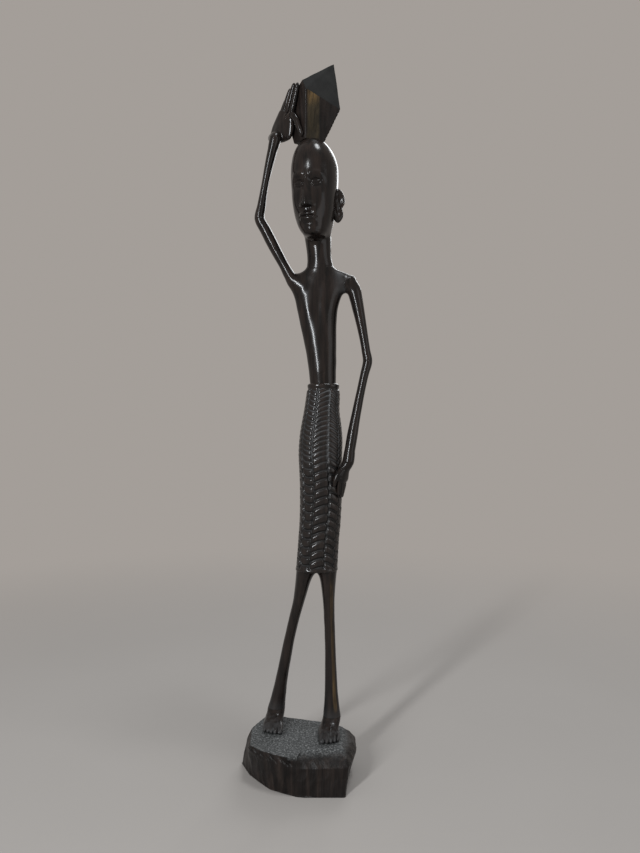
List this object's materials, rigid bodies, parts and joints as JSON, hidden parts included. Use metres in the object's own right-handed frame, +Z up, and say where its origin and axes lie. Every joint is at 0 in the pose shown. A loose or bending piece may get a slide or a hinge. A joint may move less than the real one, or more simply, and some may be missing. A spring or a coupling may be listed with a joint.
{
  "type": "carved standing figure",
  "caption": "Slender dark-wood carving of a standing figure in a herringbone waist wrap, one hand steadying a faceted block on its head, on a hewn wood base.",
  "frame": {"origin": "centre of the underside of the base block", "axes": "+Z up along the figure, +X towards the figure's left hand, -Y the way the figure faces"},
  "size_m": [0.0744, 0.054, 0.4],
  "materials": {
    "polished_blackwood": "rubbed to a soft gloss with wax, near black with faint brown grain",
    "carved_wrap": "herringbone cuts, waxed ridges over matt cuts",
    "sapwood_block": "sawn and scraped, brown heartwood with a honey sapwood streak",
    "hewn_base": "hewn and left dull, grey top with gouge marks, brown-black grained sides"
  },
  "bodies": {
    "root": {"base_block": "hewn_base", "right_foot": "hewn_base", "left_foot": "hewn_base", "right_leg": "polished_blackwood", "left_leg": "polished_blackwood", "wrap_cloth": "carved_wrap", "torso": "polished_blackwood", "neck": "polished_blackwood", "head": "polished_blackwood", "right_ear": "polished_blackwood", "left_ear": "polished_blackwood", "right_upper_arm": "polished_blackwood", "right_forearm": "polished_blackwood", "right_hand": "polished_blackwood", "left_upper_arm": "polished_blackwood", "left_forearm": "polished_blackwood", "left_hand": "polished_blackwood", "head_load": "sapwood_block"}
  },
  "joints": []
}
